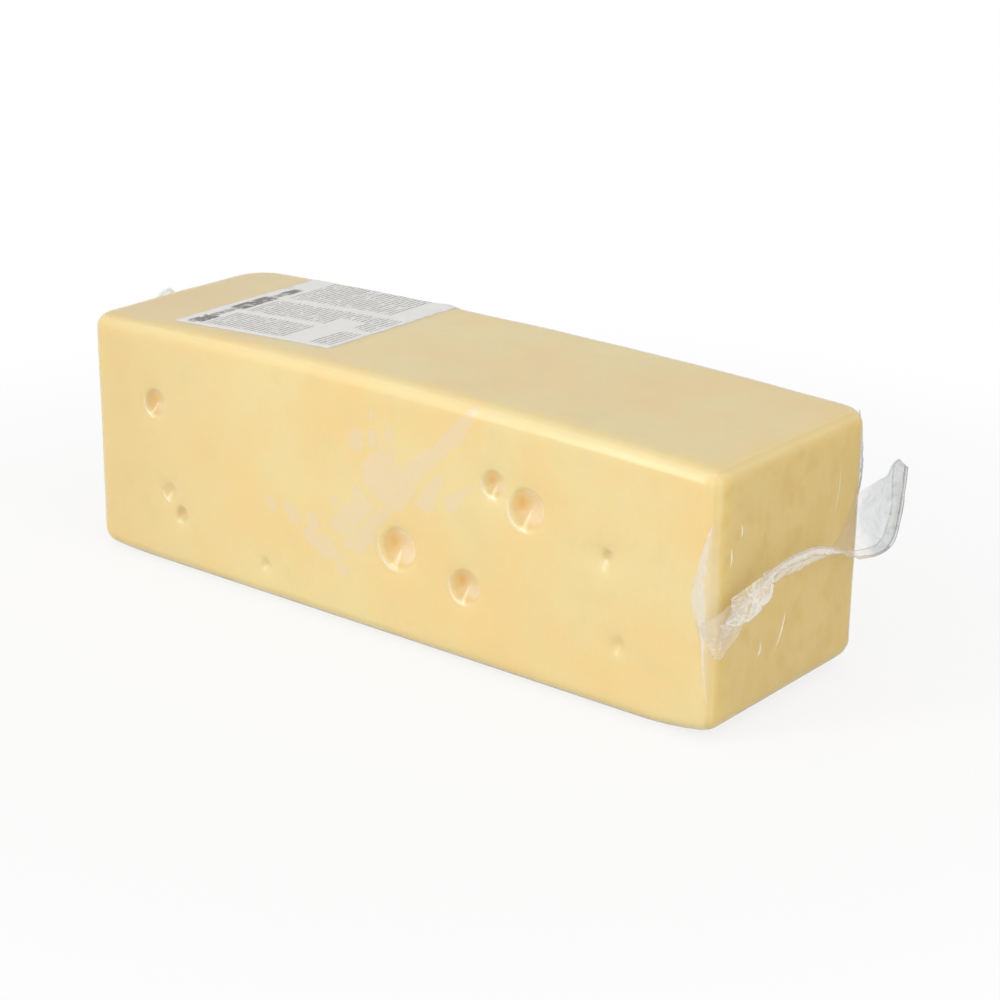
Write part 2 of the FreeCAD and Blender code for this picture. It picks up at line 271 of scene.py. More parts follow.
def shapeBlock(box):
    x, y, z = box.T.copy()
    inX, inY = halfLong - np.abs(x), halfDeep - np.abs(y)
    inward = np.minimum(inX, inY)
    alongX = inX < inY
    directionX = np.where(alongX, -np.sign(x), 0.0)
    directionY = np.where(alongX, 0.0, -np.sign(y))
    for (sideX, sideY), radius in blockForm["corners"].items():
        centreX, centreY = sideX * (halfLong - radius), sideY * (halfDeep - radius)
        a, b = (x - centreX) * sideX, (y - centreY) * sideY
        here = (a > 0) & (b > 0)
        newA, newB = squareToRound(a[here], b[here])
        x[here] = centreX + sideX * newA
        y[here] = centreY + sideY * newB
        length = np.maximum(np.hypot(newA, newB), 1e-6)
        directionX[here] = -sideX * newA / length
        directionY[here] = -sideY * newB / length
    for edge, sign, radius in ((tall, 1, blockForm["topRound"]), (0.0, -1, blockForm["baseRound"])):
        a = radius - inward
        b = radius - sign * (edge - z)
        here = (a > 0) & (b > 0)
        newA, newB = squareToRound(a[here], b[here])
        x[here] += directionX[here] * (a[here] - newA)
        y[here] += directionY[here] * (a[here] - newA)
        z[here] = edge - sign * (radius - newB)
    top = tall - blockForm["topDrop"] * (x / halfLong) ** 2
    length, lift = blockForm["baseCurl"], blockForm["baseLift"]
    curl = np.clip((np.abs(x) - halfLong + length) / length, 0, 1) ** 2
    base = curl * np.where(x < 0, lift[-1], lift[1])
    z = base + z / tall * (top - base)
    return np.column_stack([x, y, z])


# eyes: side of the block, x and z of the middle, radius of the mouth, depth, depth of the film as a
# share of that radius, and radius and depth of the soft dimple round it
eyes = [
    ("front", -115, 67, 5.0, 5.0, 0.3, 7.5, 1.5),
    ("front", -108, 32, 3.4, 1.1, 0.3, 5.2, 1.2),
    ("front", -102, 23.5, 2.8, 3.0, 0.3, 4.6, 1.2),
    ("front", -57, 14, 2.0, 1.3, 0.3, 4.0, 0.8),
    ("front", 10, 37, 7.6, 6.6, 0.22, 9.6, 2.0),
    ("front", 54, 72, 4.4, 5.0, 0.36, 7.2, 1.7),
    ("front", 69, 66, 7.0, 6.6, 0.31, 9.0, 2.0),
    ("front", 41.5, 30, 6.0, 6.0, 0.31, 8.6, 1.9),
    ("front", 103.5, 57.5, 1.5, 2.6, 0.3, 5.4, 1.7),
    ("front", 109.5, 26, 2.8, 1.0, 0.3, 5.4, 1.3),
    ("front", -88, 49.5, 0, 0, 0, 5.0, 0.5),
    ("back", 112, 33, 6.2, 6.5, 0.33, 8.0, 1.7),
    ("back", 58, 62.5, 4.5, 5.0, 0.33, 7.0, 1.5),
    ("back", 32, 28, 7.8, 7.0, 0.3, 9.8, 2.1),
    ("back", -28, 59.5, 5.8, 6.3, 0.33, 8.0, 1.7),
    ("back", -66, 38, 3.6, 4, 0.33, 6.0, 1.4),
    ("back", -104, 24, 6.8, 7.5, 0.3, 9.0, 1.9),
]
eyeForm = {
    "rim": 1.7,  # softening of the cheese at the mouth
    "reach": 2.8,  # how far past the mouth the surface is drawn along
    "step": 1.25,  # spacing of the block's mesh
    "fine": 3.5,  # how far past the mouth that mesh is finer
    "finePatch": (-58, 51, 18, 96),  # x and z where it is finer for the air under the film
    "filmReach": 1.2,  # how far past the mouth the film starts to go in
    "ripple": 0.03,
}


def boxMesh():
    # the plain box, with a finer mesh round the eyes and where air lies under the film
    step = eyeForm["step"]
    xs = np.linspace(-halfLong, halfLong, round(2 * halfLong / step) + 1)
    ys = np.linspace(-halfDeep, halfDeep, round(2 * halfDeep / step / 1.6) + 1)
    zs = np.linspace(0, tall, round(tall / step) + 1)
    mesh = bmesh.new()
    corners = {}

    def corner(i, j, k):
        if (i, j, k) not in corners:
            corners[i, j, k] = mesh.verts.new((xs[i], ys[j], zs[k]))
        return corners[i, j, k]

    lastX, lastY, lastZ = len(xs) - 1, len(ys) - 1, len(zs) - 1
    for i in range(lastX):
        for k in range(lastZ):
            for j, turn in ((0, 1), (lastY, -1)):
                loop = [corner(i, j, k), corner(i + 1, j, k),
                        corner(i + 1, j, k + 1), corner(i, j, k + 1)]
                mesh.faces.new(loop[::turn])
        for j in range(lastY):
            for k, turn in ((0, -1), (lastZ, 1)):
                loop = [corner(i, j, k), corner(i + 1, j, k),
                        corner(i + 1, j + 1, k), corner(i, j + 1, k)]
                mesh.faces.new(loop[::turn])
    for j in range(lastY):
        for k in range(lastZ):
            for i, turn in ((0, -1), (lastX, 1)):
                loop = [corner(i, j, k), corner(i, j + 1, k),
                        corner(i, j + 1, k + 1), corner(i, j, k + 1)]
                mesh.faces.new(loop[::turn])
    near = set()
    left, right, low, high = eyeForm["finePatch"]
    for face in mesh.faces:
        middle = face.calc_center_median()
        if abs(middle.y) < halfDeep - 0.01:
            continue
        side = "front" if middle.y < 0 else "back"
        for eyeSide, x, z, mouth, *rest in eyes:
            away = math.hypot(middle.x - x, middle.z - z)
            if side == eyeSide and away < mouth + eyeForm["fine"]:
                near.update(face.edges)
        if side == "front" and left < middle.x < right and low < middle.z < high:
            near.update(face.edges)
    bmesh.ops.subdivide_edges(mesh, edges=list(near), cuts=1, use_grid_fill=True)
    mesh.verts.index_update()
    points = np.array([vertex.co[:] for vertex in mesh.verts])
    faces = [[vertex.index for vertex in face.verts] for face in mesh.faces]
    mesh.free()
    return points, faces


def eyeSection(mouth, depth):
    # the wall of an eye from its bottom to the face: distance along it, radius and depth
    reach = mouth + eyeForm["reach"]
    ball = (mouth ** 2 + depth ** 2) / (2 * depth)
    last = math.acos(max(-1, min(1, (ball - depth) / ball)))
    angle = np.linspace(0, last, 160)
    radius = np.concatenate([ball * np.sin(angle), np.linspace(mouth, reach, 60)[1:]])
    down = np.concatenate([depth - ball + ball * np.cos(angle), np.zeros(59)])
    radius = np.concatenate([-radius[:0:-1], radius])  # mirrored, so smoothing keeps the bottom
    down = np.concatenate([down[:0:-1], down])
    length = np.concatenate([[0], np.cumsum(np.hypot(np.diff(radius), np.diff(down)))])
    even = np.linspace(0, length[-1], 801)
    radius, down = np.interp(even, length, radius), np.interp(even, length, down)
    window = max(3, int(eyeForm["rim"] / (even[1] - even[0])))
    kernel = np.ones(window) / window
    pad = (window // 2, window - 1 - window // 2)
    for again in range(3):
        wider = np.pad(radius, pad, "reflect", reflect_type="odd")
        radius = np.convolve(wider, kernel, "valid")
        down = np.convolve(np.pad(down, pad, "edge"), kernel, "valid")
    radius, down, even = radius[400:], down[400:], even[400:] - even[400]
    radius = radius - radius[0]
    return even, radius * reach / radius[-1], down


def facePoints(box, side):
    level = -halfDeep if side == "front" else halfDeep
    return np.abs(box[:, 1] - level) < 1e-4


def sinkEyes(box, points, film):
    # draws the surface into the eyes; the film goes less deep than the cheese
    points = points.copy()
    for number, (side, x, z, mouth, depth, share, dimple, sunk) in enumerate(eyes):
        inward = 1 if side == "front" else -1
        onFace = facePoints(box, side)
        if mouth:
            along, radius, down = eyeSection(mouth, depth)
        else:
            along, radius, down = np.zeros((3, 2))
        reach = radius[-1]
        across, up = points[:, 0] - x, points[:, 2] - z
        away = np.hypot(across, up)
        here = onFace & (away < reach)
        if film:
            # a blunt cone with a rounded rim, which never goes below the cheese
            inside = np.interp(away[here], np.maximum.accumulate(radius), down)
            part = away[here] / (mouth + eyeForm["filmReach"])
            cone = share * mouth * 1.12 * (1 - (np.sqrt(part ** 2 + 0.05) - 0.224) / 0.72)
            cone = 0.2 * np.log1p(np.exp(cone / 0.2))
            ripple = eyeForm["ripple"] * np.sin(away[here] * 4.2 + number)
            ripple *= np.clip(away[here] / 3, 0, 1)
            points[here, 1] += inward * np.minimum(cone + ripple, inside)
        else:
            place = away[here] / reach * along[-1]
            factor = np.interp(place, along, radius) / np.maximum(away[here], 1e-6)
            points[here, 0] = x + across[here] * factor
            points[here, 2] = z + up[here] * factor
            points[here, 1] += inward * np.interp(place, along, down)
        away = np.hypot(points[:, 0] - x, points[:, 2] - z)
        funnel = sunk * np.exp(-(away / dimple) ** 2)
        points[onFace, 1] += inward * funnel[onFace]
    return points


# cheese
cheeseForm = {
    "pale": (239, 223, 168),
    "warm": (241, 218, 158),
    "cool": (232, 218, 161),
    # painted highlight along the rounded edges
    "edge": (248, 238, 196),
    # painted light: the eyes are paler than the face, for light that comes through the cheese
    "hole": (247, 232, 198),
    # painted shade on the left wall of each eye
    "holeShade": (240, 203, 112),
    # painted sheen of the film where air lies under it
    "airSheen": (236, 221, 190),
    # the end face: its own mottled ochre, painted darker for the shade it lies in
    "end": (224, 201, 132),
    "endWarmShaded": (217, 185, 106),
    "leftShade": (224, 198, 134),  # painted shade, deeper and darker towards the left end
    "grain": (255, 238, 196),
    "innerGlow": 0.05,  # painted glow, as emission: light that comes through the cheese into the eyes
    "glow": 0.45,  # share of light that goes into the cheese, and how deep
    "glowColours": (1.0, 0.74, 0.38),
    "glowDepth": 0.008,
    "edgeWidth": 2.2,
}


def cheeseLook():
    form = cheeseForm
    look = Look("cheese")
    broad = look.grain(42, 3, 0.55)
    cloudy = look.grain(13, 3, 0.6)
    fine = look.grain(1.6, 3, 0.6)
    base = look.blend(broad.ramp(0.38, 0.66), linear(*form["pale"]), linear(*form["warm"]))
    base = look.blend(cloudy.ramp(0.5, 0.74) * 0.45, base, linear(*form["cool"]))
    # painted shade, darker towards the left end
    leftward = 1 - look.axis("X").ramp(-165, -50)
    base = look.blend(leftward * 0.45, base, linear(*form["leftShade"]))
    streaks = look.grain(1, 4, 0.6, look.stretch(0.07, 0.08, 0.035)).ramp(0.42, 0.66)
    mottle = look.grain(9, 4, 0.62).ramp(0.46, 0.68)
    patches = (streaks * 0.45).most(mottle * 0.65)
    # the end face's own mottling, with painted shade in its darker colours
    end = look.blend(patches, linear(*form["end"]), linear(*form["endWarmShaded"]))
    base = look.blend(look.value("endFace") * 0.9, base, end)
    # painted highlight: paler along the rounded edges
    base = look.blend(look.value("edge") * 0.32, base, linear(*form["edge"]))
    # painted light: paler within the eyes
    hole = look.value("hole")
    base = look.blend(hole * 0.9, base, linear(*form["hole"]))
    # painted shade: deeper ochre on the left wall of each eye
    base = look.blend(look.value("wall") * hole, base, linear(*form["holeShade"]))
    # painted sheen: paler and greyer where air lies under the film
    air = 1 - look.value("air").ramp(-0.14, 0.14)
    base = look.blend(air * 0.65, base, linear(*form["airSheen"]))
    base = look.blend(fine.ramp(0.35, 0.75) * 0.14, base, linear(*form["grain"]), "MULTIPLY")
    height = look.grain(0.8, 3, 0.6) * 0.5 + look.grain(5, 2, 0.5)
    # painted glow in the eyes, as emission
    inner = look.blend(hole, (0, 0, 0, 1), linear(*form["hole"]))
    surface = look.node("ShaderNodeBsdfPrincipled", None, {
        "Base Color": base, "Roughness": 0.46 + 0.14 * cloudy, "IOR": 1.4, "Emission Color": inner,
        "Normal": look.bump(height, 0.25, 0.0004)})
    surface.inputs["Emission Strength"].default_value = form["innerGlow"]
    surface.inputs["Subsurface Weight"].default_value = form["glow"]
    surface.inputs["Subsurface Radius"].default_value = form["glowColours"]
    surface.inputs["Subsurface Scale"].default_value = form["glowDepth"]
    return look.output(surface.outputs[0])


def edgeShare(box):
    # 1 along the edges of the block, fading over a few millimetres; it places the painted highlight
    # along the edges, and the film's rougher edges
    gaps = np.sort(np.column_stack([halfLong - np.abs(box[:, 0]), halfDeep - np.abs(box[:, 1]),
                                    np.minimum(box[:, 2], tall - box[:, 2])]), axis=1)
    return np.exp(-(gaps[:, 1] / cheeseForm["edgeWidth"]) ** 2)


box, boxFaces = boxMesh()
smoothBlock = shapeBlock(box)
wave = np.array([noise.noise(Vector(point) / blockForm["unevenSize"]) for point in smoothBlock])
unevenness = (smoothBlock - np.array([0, 0, tall / 2])) * blockForm["uneven"] * wave[:, None]
unevenness *= np.clip(box[:, 2] / blockForm["evenBase"], 0, 1)[:, None]
cheesePoints = sinkEyes(box, smoothBlock, False)
hole = np.clip(np.abs(cheesePoints[:, 1] - smoothBlock[:, 1]) / 3 - 0.7, 0, 1)
endFace = np.clip((np.abs(box[:, 0]) - halfLong + 4) / 3, 0, 1)


def wallShadeShare(points):
    # the wall of each eye on the side towards the left end, which gets painted shade
    out = np.zeros(len(points))
    for side, x, z, mouth, *rest in eyes:
        if mouth > 2.5:
            across, up = points[:, 0] - x, points[:, 2] - z
            near = (np.hypot(across, up) < mouth + 1) & ((points[:, 1] < 0) == (side == "front"))
            lean = np.clip((-across / mouth - 0.25 * np.abs(up) / mouth - 0.25) / 0.5, 0, 1)
            out[near] = lean[near]
    return out


# film drawn onto the cheese
filmForm = {
    "offset": 0.22,
    "haze": 0.03,
    "airHaze": 0.015,
    "airLift": 0.12,
    "tone": (246, 243, 240),
    "rough": 0.2,
    "eyeRough": 0.1,  # within the eyes, where the film is stretched
    "edgeRough": 0.2,
    "endRough": 0.25,
    "rightGlintArc": 0.16,  # painted highlight: thin pale arcs within the right side of each eye
    "leftGlintArc": 0.32,  # painted highlight: pale arc below and left of each eye
    "shade": 0.2,  # share of its haze that the film keeps in the light that it lets through
    # air caught under the film, each a drop with two ends: x, z, radius, x, z, radius
    "air": [
        (3, 66, 6.5, 8, 63, 7), (-3, 65, 3.5, -2, 61, 4), (0, 69, 3.2, 6, 70, 3),
        (11, 58, 6, 16, 60, 4), (4, 55, 2.6, 1, 56.5, 2.5), (10, 54.5, 3, 7, 55, 3),
        (16, 67, 4, 24, 74, 3.2), (24, 74, 3.2, 31, 80, 2.6), (31, 80, 2.6, 38, 87, 3.4),
        (38, 87, 3.4, 43, 94, 2.2), (43, 94, 2.2, 46, 99, 1.6), (23.5, 59, 4.6, 30, 68, 2.2),
        (36, 60.5, 3, 40.5, 65, 1.6), (40.5, 65, 1.6, 45, 68.5, 0.7), (-9, 55, 2.2, -7, 48, 6.2),
        (-12, 46, 4, -15, 41.5, 4.5), (-17, 40, 3.4, -20, 39.5, 2.6), (-14, 37.5, 3, -8, 39, 2.6),
        (-13, 34, 2.4, -6, 41, 3.4), (-6, 41, 3.4, 0, 46.5, 3), (0, 46.5, 3, 6, 50.5, 1.3),
        (-7, 37, 3.6, -8, 31, 1.6), (-17, 31.5, 1.1, -11, 34, 1.4), (-34, 32, 2.6, -26, 29, 4),
        (-26, 29, 4, -19, 26.5, 2.2), (-9.6, 76, 3.2, -9.6, 73.5, 3.4),
        (-1.8, 78.6, 2, -1.8, 75.4, 2.3), (6.8, 82, 1.5, 6.8, 79, 1.9),
        (3.4, 75.6, 1.3, 3.4, 74.7, 1.4), (8.2, 74.2, 1.3, 8.2, 73.6, 1.4),
        (-2.2, 86.8, 1, -2.2, 84.6, 1.2), (-20.8, 49.3, 1.5, -20.4, 48.6, 1.6),
        (-52.8, 40.4, 2.4, -51.9, 39.4, 2.5), (-43.8, 40.2, 2.7, -41, 37.6, 3),
        (-31.6, 38.7, 2.9, -31.3, 36.9, 3), (-17.4, 22.4, 2.3, -16, 21.2, 2.5),
        (-2.7, 37.3, 1, -2.7, 36.5, 1.1),
    ],
    # thin gaps where the film touches the cheese between two drops
    "gaps": [
        (-10, 40, 0.5, -5, 44.5, 0.7), (-5, 44.5, 0.7, 0.5, 50.5, 0.6),
        (-24, 36, 0.9, -19, 31.8, 0.8), (-19, 31.8, 0.8, -13, 31, 0.5),
        (13.5, 53.5, 0.7, 21, 62, 0.8), (21, 62, 0.8, 28, 70, 0.7),
    ],
    "airBlend": 1.2,  # how softly two drops run together
    "airWobble": (0.6, 3.4),  # wander of their outlines, and its size
}


def dropDistance(x, z, drop):
    # signed distance to a tapered drop, less than 0 inside
    x1, z1, r1, x2, z2, r2 = drop
    length = math.hypot(x2 - x1, z2 - z1) ** 2
    t = np.clip(((x - x1) * (x2 - x1) + (z - z1) * (z2 - z1)) / max(length, 1e-6), 0, 1)
    return np.hypot(x - x1 - t * (x2 - x1), z - z1 - t * (z2 - z1)) - (r1 + t * (r2 - r1))


def airUnderFilm(points, onFace):
    # distance of each point from the edge of the air, less than 0 within it
    far, soft = 50.0, filmForm["airBlend"]
    wobble, size = filmForm["airWobble"]
    x, z = points[:, 0].copy(), points[:, 2].copy()
    for moved, seed in ((x, 3.1), (z, 9.7)):
        moved[onFace] += wobble * np.array([noise.noise(Vector((p[0], seed, p[2])) / size)
                                            for p in points[onFace]])
    distance = np.full(len(points), far)
    for drop in filmForm["air"]:
        other = dropDistance(x, z, drop)
        share = np.clip(0.5 + 0.5 * (other - distance) / soft, 0, 1)
        distance = other * (1 - share) + distance * share - soft * share * (1 - share)
    for gap in filmForm["gaps"]:
        distance = np.maximum(distance, -dropDistance(x, z, gap))
    return np.where(onFace, distance, far)


def filmLook():
    form = filmForm
    look = Look("film_on_cheese")
    air = 1 - look.value("air").ramp(-0.14, 0.14)
    shine = look.node("ShaderNodeFresnel", None, {"IOR": 1.45}).outputs[0]
    height = look.grain(30, 2, 0.5) * 3 + look.grain(4, 2, 0.5) * 0.2
    edge, end = look.value("edge"), look.value("endFace")
    away = look.value("eyeAway")
    # painted highlights: pale arcs in and round each eye
    right = away.between(0.85, 0.9, 0.03) + 0.6 * away.between(0.7, 0.73, 0.03)
    left = away.between(1.15, 1.3, 0.07) + 0.4 * away.between(1.45, 1.5, 0.05)
    left = left * look.value("eyeLeft")
    glintArcs = form["rightGlintArc"] * right * look.value("eyeRight") + form["leftGlintArc"] * left
    inEye = 1 - away.ramp(0.95, 1.3)
    rough = form["rough"] + (form["eyeRough"] - form["rough"]) * inEye
    rough = rough + form["edgeRough"] * edge + form["endRough"] * end + 0.35 * left
    surface = look.node("ShaderNodeBsdfPrincipled", None, {
        "Base Color": linear(*form["tone"]), "Metallic": 0.8, "Roughness": rough,
        "Normal": look.bump(height, 0.25, 0.0004)})
    clear = look.node("ShaderNodeBsdfTransparent")
    gloss = Wire(look, shine) * (0.7 - 0.2 * end)
    amount = form["haze"] + gloss + form["airHaze"] * air + glintArcs
    amount = amount.least(1.0) * (1 - (1 - form["shade"]) * look.ray("Shadow"))
    return look.output(look.mix(amount, clear.outputs[0], surface.outputs[0]))


filmPoints = sinkEyes(box, smoothBlock, True) + unevenness
airDistance = airUnderFilm(smoothBlock, facePoints(box, "front"))
airLift = filmForm["airLift"] * np.clip(0.5 - airDistance / 1.2, 0, 1)


def outward(points, faces):
    mesh = bpy.data.meshes.new("measure")
    mesh.from_pydata(points.tolist(), [], faces)
    normals = np.zeros(len(points) * 3, np.float32)
    mesh.vertex_normals.foreach_get("vector", normals)
    bpy.data.meshes.remove(mesh)
    return normals.reshape(-1, 3)


filmPoints += outward(filmPoints, boxFaces) * (filmForm["offset"] + airLift)[:, None]
filmPoints[:, 2] = np.maximum(filmPoints[:, 2], 0)


def eyeValues(points):
    # for the painted highlight arcs: how far out each point is from its eye, and how far right or
    # lower left
    away, right, left = np.full(len(points), 9.0), np.zeros(len(points)), np.zeros(len(points))
    for side, x, z, mouth, *rest in eyes:
        if mouth > 2.9:
            across, up = (points[:, 0] - x) / mouth, (points[:, 2] - z) / mouth
            out = np.hypot(across, up)
            near = facePoints(box, side) & (out < 2)
            lean = (-0.8 * across - 0.6 * up) / np.maximum(out, 0.001)
            away[near] = out[near]
            right[near] = np.clip((across - 0.1) / 0.6, 0, 1)[near]
            left[near] = np.clip((lean - 0.35) / 0.55, 0, 1)[near]
    return {"eyeAway": away, "eyeRight": right, "eyeLeft": left}


edge = edgeShare(box)
cheese = makePiece("cheese", cheesePoints + unevenness, boxFaces, cheeseLook(),
                   {"edge": edge, "hole": hole, "wall": wallShadeShare(cheesePoints),
                    "endFace": endFace, "air": airDistance})
bagFilm = makePiece("bag_film", filmPoints, boxFaces, filmLook(),
                    {"air": airDistance, "edge": edge, "endFace": endFace, **eyeValues(filmPoints)})
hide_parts("cheese_block")
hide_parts("cheese_block")


# free film: the seals and the folds that stand off the block
foldForm = {
    "tone": (228, 221, 209),
    "earShadeTone": (186, 189, 190),  # painted shade: greyer in the ear, beyond the back of the block
    "leftLitTone": (227, 232, 233),  # painted light: paler beyond the left end, where the film lies in shade
    "glow": 0.07,  # painted glow, as emission: light that the film scatters from behind
    "haze": 0.32,
    "gloss": 0.55,
    "rough": 0.2,
    "shade": 0.25,  # share of its haze that it keeps in the light that it lets through
}


def foldLook():
    form = foldForm
    look = Look("film_fold")
    shine = look.node("ShaderNodeFresnel", None, {"IOR": 1.5}).outputs[0]
    height = look.grain(2.6, 3, 0.6) + look.grain(9, 2, 0.5) * 1.5
    haze = look.value("thick") * (form["haze"] + 0.14 * look.grain(4, 3, 0.6).ramp(0.45, 0.7))
    earShadeShare = look.axis("Y").ramp(36, 46) * look.axis("X").ramp(-1, 1)
    freeLeft = 1 - look.axis("X").ramp(-154, -151.5)
    gloss = form["gloss"] * Wire(look, shine) * (1 - 0.6 * freeLeft)
    # painted shade in the ear and painted light beyond the left end
    tone = look.blend(earShadeShare, linear(*form["tone"]), linear(*form["earShadeTone"]))
    tone = look.blend(freeLeft, tone, linear(*form["leftLitTone"]))
    surface = look.node("ShaderNodeBsdfPrincipled", None, {
        "Base Color": tone, "Metallic": gloss / (haze + gloss + 0.01),
        "Roughness": form["rough"], "Emission Color": tone,
        "Normal": look.bump(height, 0.6, 0.0006)})
    # painted glow of the film, as emission
    surface.inputs["Emission Strength"].default_value = form["glow"]
    clear = look.node("ShaderNodeBsdfTransparent")
    amount = (haze + gloss).least(1.0) * (1 - (1 - form["shade"]) * look.ray("Shadow"))
    return look.output(look.mix(amount, clear.outputs[0], surface.outputs[0]))


foldMaterial = foldLook()


class FilmParts:
    # gathers sheets and beads of free film into one piece
    def __init__(self):
        self.points = []
        self.faces = []
        self.thick = []
        self.count = 0

    def add(self, grid, thick):
        along, across = grid.shape[:2]
        self.faces += gridFaces(along, across, self.count)
        self.points.append(grid.reshape(-1, 3))
        self.thick.append(np.broadcast_to(thick, grid.shape[:2]).reshape(-1))
        self.count += along * across

    def sheet(self, form, thick=None):
        # a crumpled sheet from a form's rows; "keepRoot" leaves the start of each row as it is
        across = form["mesh"][1]
        grid = sheetGrid(form["rows"], *form["mesh"])
        amount = crumpled(grid, form["crumpleSize"], form["seed"]) * form["crumple"]
        if form.get("keepRoot"):
            amount = amount * np.clip(np.linspace(0, 1, across) * 3, 0, 1)[None, :]
        grid = grid + gridNormals(grid) * amount[:, :, None]
        self.add(grid, form["thick"] if thick is None else thick)
        return grid

    def bead(self, line, radius, flat=0.6, sides=8, thick=1.5):
        # a rolled edge along a line
        line = np.asarray(line)
        heading = np.gradient(line, axis=0)
        heading /= np.linalg.norm(heading, axis=1, keepdims=True)
        aside = np.cross(heading, [1, 0, 0.2])
        aside /= np.linalg.norm(aside, axis=1, keepdims=True)
        upward = np.cross(heading, aside)
        angles = np.linspace(0, 2 * math.pi, sides + 1)
        size = np.asarray(radius) * np.ones(len(line))
        ring = (np.cos(angles)[None, :, None] * aside[:, None] * flat
                + np.sin(angles)[None, :, None] * upward[:, None]) * size[:, None, None]
        self.add(line[:, None] + ring, thick)

    def make(self, name, replaces):
        piece = makePiece(name, np.concatenate(self.points), self.faces, foldMaterial,
                          {"thick": np.concatenate(self.thick)})
        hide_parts(replaces)
        return piece


# right seal, front to back
rightSeal = {
    # root y, x, z and bead y, x, z
    "stations": [
        (-46.5, 150.4, 40, -46.5, 151, 35.5), (-42, 150.3, 43.5, -42, 153.4, 48),
        (-33, 150.3, 47.2, -33, 156, 56.5), (-25, 150.3, 48.6, -25, 157.2, 59.8),
        (-16, 150.3, 49.3, -16, 158, 61.2), (-8, 150.3, 49.5, -8, 158, 61),
        (1, 150.3, 49.6, 1, 158.3, 60.2), (14, 150.3, 50, 14, 158, 55.6),
        (26, 150.3, 52.5, 26, 158, 49.4), (34, 150.3, 60, 35, 158, 46.2),
        (38.5, 150.6, 67.2, 43, 158.4, 45.2), (42.5, 152.5, 69.2, 49.4, 158.6, 45.8),
        (46.5, 154.5, 71.2, 53.7, 158.6, 48.8), (49.3, 156.2, 72.8, 55.9, 158.8, 56.5),
        (50.8, 156.9, 76.2, 57, 159, 64.5), (52.6, 157.7, 77.8, 57.4, 159.1, 70.5),
        (54.8, 158.3, 77.7, 57.7, 159.2, 74.4),
    ],
    "mesh": (260, 44),
    "bead": 0.7,  # radius of the rolled edge
    "weldIn": 3.6,  # from that edge to the second line of the weld
    "weldBead": 0.25,
    "pleat": 0.22,
    "crumpleSize": 9,
    "gather": (-37, 7),  # y of the crumpled front end, and its width
    "ear": (37, 9),  # y where the ear starts, and how far it takes to thicken
}
# crumpled film where the seal gathers at the front corner
gatherForm = {
    "rows": [
        [(150.6, -47, 44), (153, -47.6, 47), (154, -46, 50), (152.5, -43.5, 53)],
        [(151, -43.5, 42.5), (155, -43, 45.5), (156.8, -40, 50.5), (154.5, -37.5, 56)],
        [(151, -38.5, 42.5), (156, -38, 46), (158.2, -34.5, 52), (156, -33, 58)],
        [(150.8, -33, 43.5), (155.5, -32, 47), (158.4, -29, 53), (156.5, -28, 59.5)],
        [(150.6, -28.5, 45.5), (153.5, -27, 49), (156.5, -25, 54), (156.5, -24, 60)],
    ],
    "mesh": (80, 60), "crumple": 1.0, "crumpleSize": 7.5, "seed": 9, "thick": 1.0, "keepRoot": True,
}


def sealRow(root, bead, sag):
    # one station of a seal: its root, two points between, its bead
    return [root, root * 0.66 + bead * 0.34 + sag, root * 0.3 + bead * 0.7 + sag, bead]


def waver(line):
    return np.array([noise.noise(Vector(point) / 5) for point in line])


def rightSealParts():
    form = rightSeal
    parts = FilmParts()
    rows = []
    for rootY, rootX, rootZ, beadY, beadX, beadZ in form["stations"]:
        root, bead = np.array([rootX, rootY, rootZ]), np.array([beadX, beadY, beadZ])
        sag = np.array([0.9, 0, -1.2]) * min(1, abs(beadZ - rootZ) / 12)
        if rootY > 33:
            sag = np.array([-2.4, 3.4, -1.6]) * min(1, abs(beadZ - rootZ) / 18)
        rows.append(sealRow(root, bead, sag))
    along, across = form["mesh"]
    grid = sheetGrid(rows, along, across)
    t = np.linspace(0, 1, across)[None, :]
    y = grid[:, :, 1]
    normals = gridNormals(grid)
    gaps = grid[:, :, None] - grid[None, None, ::3, -1]
    fromBead = np.min(np.linalg.norm(gaps, axis=3), axis=2)
    crowd = np.exp(-((y - form["gather"][0]) / form["gather"][1]) ** 2)
    ear = np.clip((y - form["ear"][0]) / form["ear"][1], 0, 1)
    pleats = form["pleat"] * np.sin(y * 1.1 + 3 * np.sin(y * 0.21)) * (1 - t) * np.clip(t * 4, 0, 1)
    crumple = crumpled(grid, form["crumpleSize"], 2) * (0.3 + 0.9 * crowd + 0.6 * ear)
    crumple = crumple * np.clip(t * 3, 0, 1) * (1 - 0.8 * ear * t ** 4)
    grid = grid + normals * (pleats * (y < 20) + crumple)[:, :, None]
    band = np.clip((form["weldIn"] + 0.6 - fromBead) / 0.8, 0, 1)
    parts.add(grid, 0.45 + 0.45 * band + 0.45 * crowd + 0.85 * ear)
    edge = grid[:, -1]
    parts.bead(edge, form["bead"] + 0.25 * waver(edge), 0.8, 10, 0.55)
    weldPlace = np.argmin(np.abs(fromBead - form["weldIn"]), axis=1)
    inner = curveThrough((grid + normals * 0.3)[np.arange(along), weldPlace][::6], along)
    parts.bead(inner, form["weldBead"], 0.7, 6, 0.4)
    return parts


sealParts = rightSealParts()
sealParts.sheet(gatherForm)
sealParts.make("seal_film_right", "end_seal_right")
print("right seal done")


